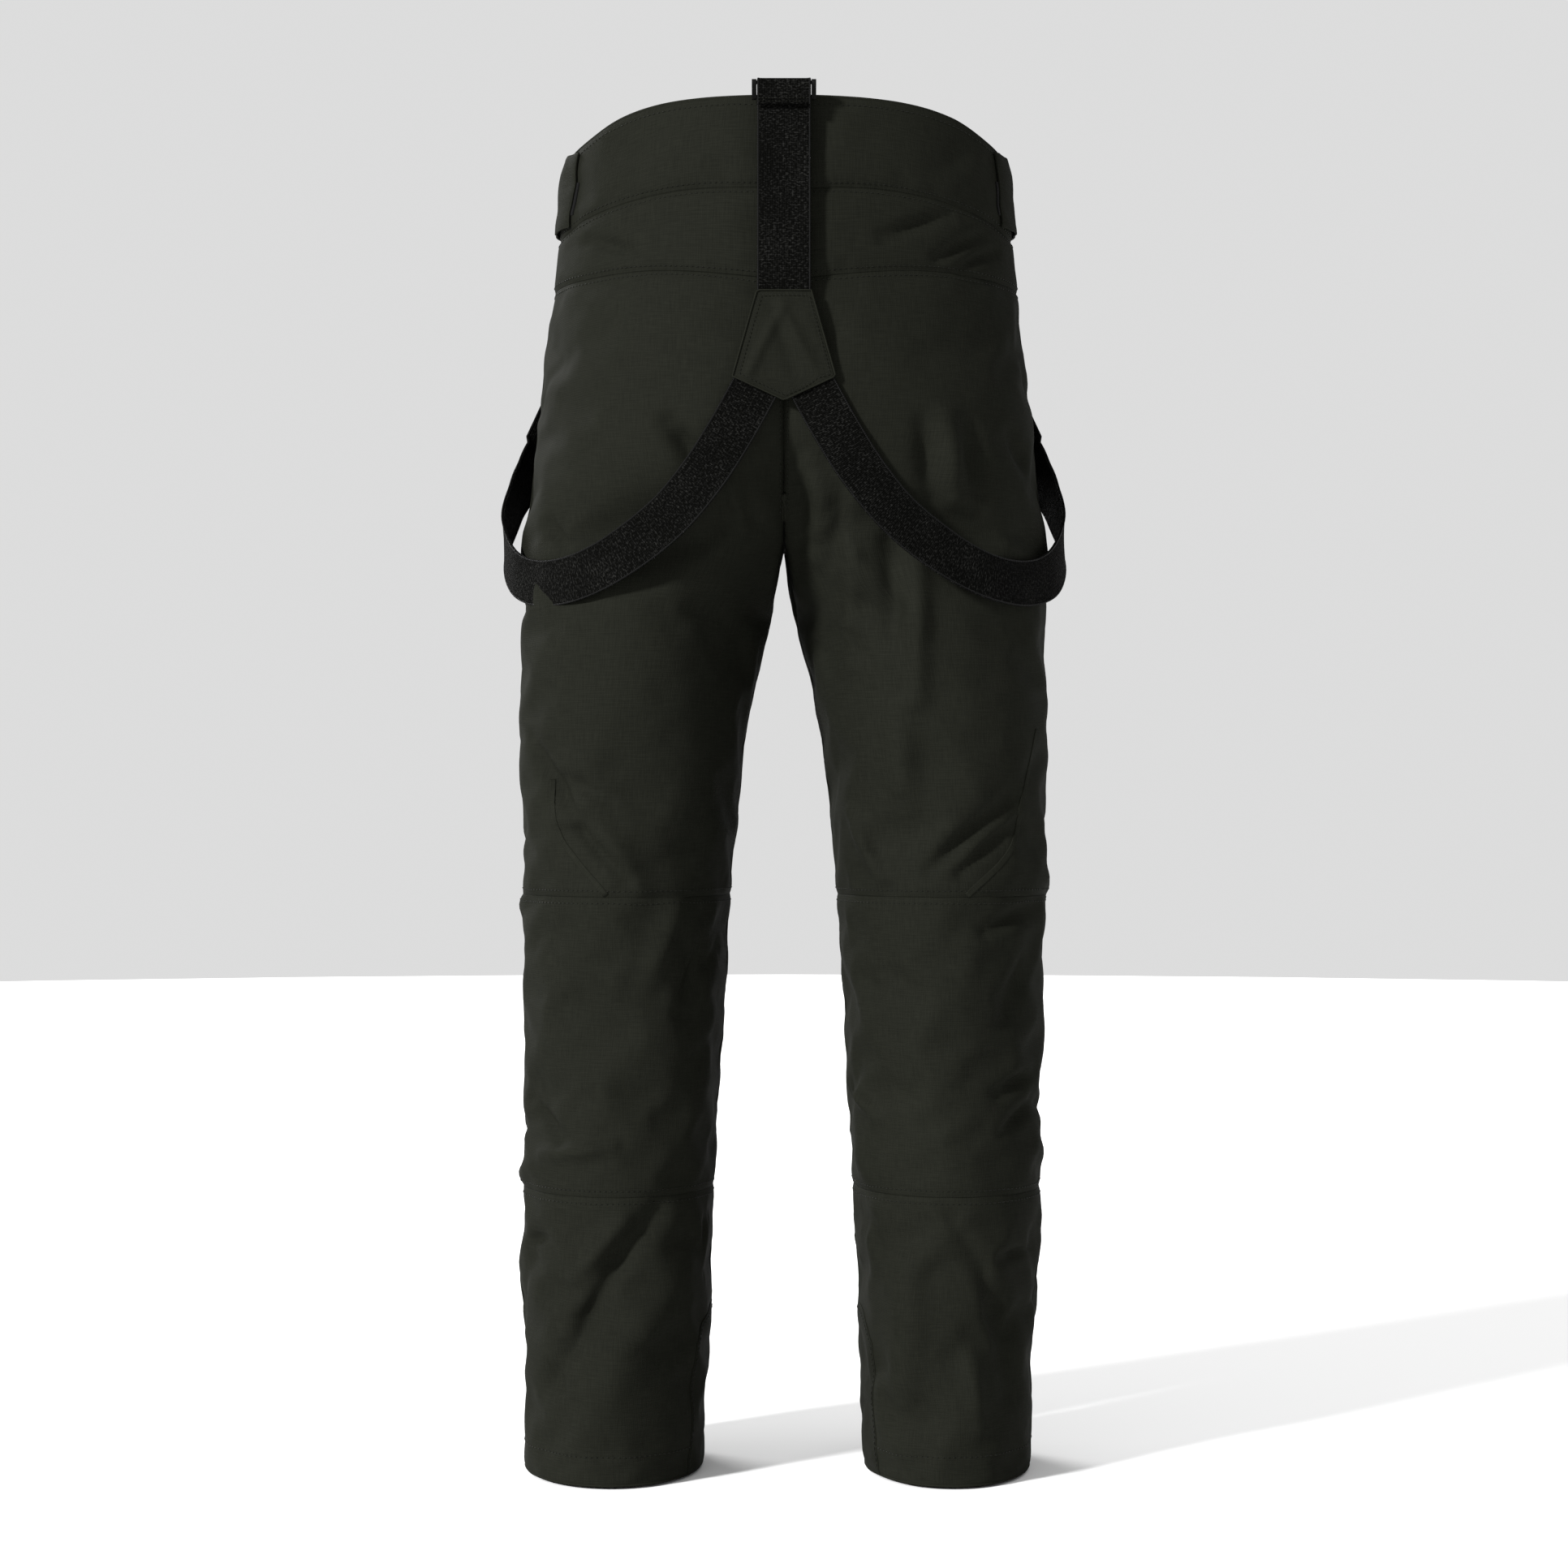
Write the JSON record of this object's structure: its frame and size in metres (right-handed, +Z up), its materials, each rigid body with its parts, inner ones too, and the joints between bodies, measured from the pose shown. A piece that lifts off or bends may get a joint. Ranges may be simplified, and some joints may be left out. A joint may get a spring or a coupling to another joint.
{
  "type": "ski pants",
  "caption": "Insulated ski pants with a raised back waistband, articulated knees, side adjuster tabs and hanging elastic braces joined by a Y patch.",
  "frame": {"origin": "centre of the garment's width and front-to-back middle, at hem height", "axes": "+Z up from hem to waist, -Y the wearer's front, +X the wearer's left"},
  "size_m": [0.449, 0.2809, 1.0803],
  "materials": {
    "black_shell": "matt fine weave",
    "lining_cloth": "smooth taffeta",
    "kidney_fleece": "brushed fleece",
    "brace_elastic": "heathered knitted elastic",
    "webbing": "ribbed webbing",
    "hook_loop": "loop pile",
    "scuff_cloth": "coarse ripstop weave",
    "gaiter_cloth": "thin coated cloth",
    "gripper_rubber": "matt",
    "zip_coil": "satin coil",
    "zip_metal": "satin black",
    "puller_rubber": "matt moulded",
    "snap_metal": "satin gunmetal",
    "buckle_plastic": "moulded nylon"
  },
  "bodies": {
    "garment": {"back_panel_left": "black_shell", "back_panel_right": "black_shell", "back_yoke": "black_shell", "brace_anchor_left": "webbing", "brace_anchor_right": "webbing", "brace_back_buckle": "buckle_plastic", "brace_back_strap": "brace_elastic", "brace_back_tab": "black_shell", "brace_ring_left": "buckle_plastic", "brace_ring_right": "buckle_plastic", "brace_strap_left": "brace_elastic", "brace_strap_right": "brace_elastic", "brace_y_patch": "black_shell", "closure_studs": "zip_metal", "fly_zip": "zip_coil", "front_panel_left": "black_shell", "front_panel_right": "black_shell", "hang_loop": "webbing", "kidney_lining": "kidney_fleece", "knee_back_left": "black_shell", "knee_back_right": "black_shell", "knee_front_left": "black_shell", "knee_front_right": "black_shell", "lining_left": "lining_cloth", "lining_right": "lining_cloth", "pocket_bag_left": "lining_cloth", "pocket_bag_right": "lining_cloth", "pocket_zip_left": "zip_coil", "pocket_zip_right": "zip_coil", "side_loop_patch_left": "hook_loop", "side_loop_patch_right": "hook_loop", "waistband_back": "black_shell", "waistband_front_left": "black_shell", "waistband_front_right": "black_shell"},
    "lower_leg_left": {"calf_panel_left": "black_shell", "shin_panel_left": "black_shell", "lining_lower_left": "lining_cloth", "gaiter_left": "gaiter_cloth", "gaiter_elastic_left": "gripper_rubber", "scuff_guard_left": "scuff_cloth"},
    "lower_leg_right": {"calf_panel_right": "black_shell", "shin_panel_right": "black_shell", "lining_lower_right": "lining_cloth", "gaiter_right": "gaiter_cloth", "gaiter_elastic_right": "gripper_rubber", "scuff_guard_right": "scuff_cloth"},
    "fly_slider": {"fly_slider": "zip_metal"},
    "fly_puller": {"fly_puller": "puller_rubber"},
    "pocket_slider_left": {"pocket_slider_left": "zip_metal"},
    "pocket_slider_right": {"pocket_slider_right": "zip_metal"},
    "pocket_puller_left": {"pocket_puller_left": "puller_rubber"},
    "pocket_puller_right": {"pocket_puller_right": "puller_rubber"},
    "closure_tab": {"closure_tab": "black_shell", "closure_snaps": "snap_metal"},
    "side_tab_left": {"side_tab_left": "black_shell"},
    "side_tab_right": {"side_tab_right": "black_shell"},
    "brace_adjuster_left": {"brace_adjuster_left": "buckle_plastic"},
    "brace_adjuster_right": {"brace_adjuster_right": "buckle_plastic"}
  },
  "joints": [
    {"name": "knee_left", "type": "hinge", "parent": "garment", "child": "lower_leg_left", "pos_m": [0.1285, 0, 0.34], "axis": [1, 0, 0], "range_deg": [0, 90], "deforming": ["knee_back_left", "knee_front_left"]},
    {"name": "knee_right", "type": "hinge", "parent": "garment", "child": "lower_leg_right", "pos_m": [-0.1285, 0, 0.34], "axis": [1, 0, 0], "range_deg": [0, 90], "deforming": ["knee_back_right", "knee_front_right"]},
    {"name": "fly_zip_travel", "type": "slide", "parent": "garment", "child": "fly_slider", "axis": [0, 0, -1], "range_m": [0, 0.112]},
    {"name": "fly_puller_swing", "type": "hinge", "parent": "fly_slider", "child": "fly_puller", "pos_m": [0, -0.1257, 0.972], "axis": [-1, 0, 0], "range_deg": [0, 150]},
    {"name": "pocket_zip_travel_left", "type": "slide", "parent": "garment", "child": "pocket_slider_left", "axis": [0.0954, -0.0295, -0.995], "range_m": [0, 0.13]},
    {"name": "pocket_puller_swing_left", "type": "hinge", "parent": "pocket_slider_left", "child": "pocket_puller_left", "pos_m": [0.08872, -0.11184, 0.97239], "axis": [-0.934, -0.3483, -0.0793], "range_deg": [0, 150]},
    {"name": "pocket_zip_travel_right", "type": "slide", "parent": "garment", "child": "pocket_slider_right", "axis": [-0.0954, -0.0295, -0.995], "range_m": [0, 0.13]},
    {"name": "pocket_puller_swing_right", "type": "hinge", "parent": "pocket_slider_right", "child": "pocket_puller_right", "pos_m": [-0.08872, -0.11184, 0.97239], "axis": [-0.934, 0.3483, 0.0793], "range_deg": [0, 150]},
    {"name": "closure_tab_peel", "type": "hinge", "parent": "garment", "child": "closure_tab", "pos_m": [0.03, -0.1235, 1.002], "axis": [0, 0, 1], "range_deg": [0, 110]},
    {"name": "side_tab_peel_left", "type": "hinge", "parent": "garment", "child": "side_tab_left", "pos_m": [0.168, -0.044, 1.025], "axis": [0, 0, -1], "range_deg": [0, 75]},
    {"name": "side_tab_peel_right", "type": "hinge", "parent": "garment", "child": "side_tab_right", "pos_m": [-0.168, -0.044, 1.025], "axis": [0, 0, 1], "range_deg": [0, 75]},
    {"name": "brace_adjust_left", "type": "slide", "parent": "garment", "child": "brace_adjuster_left", "axis": [-0.3917, -0.2126, 0.8952], "range_m": [-0.04, 0.06]},
    {"name": "brace_adjust_right", "type": "slide", "parent": "garment", "child": "brace_adjuster_right", "axis": [0.3917, -0.2126, 0.8952], "range_m": [-0.04, 0.06]}
  ]
}
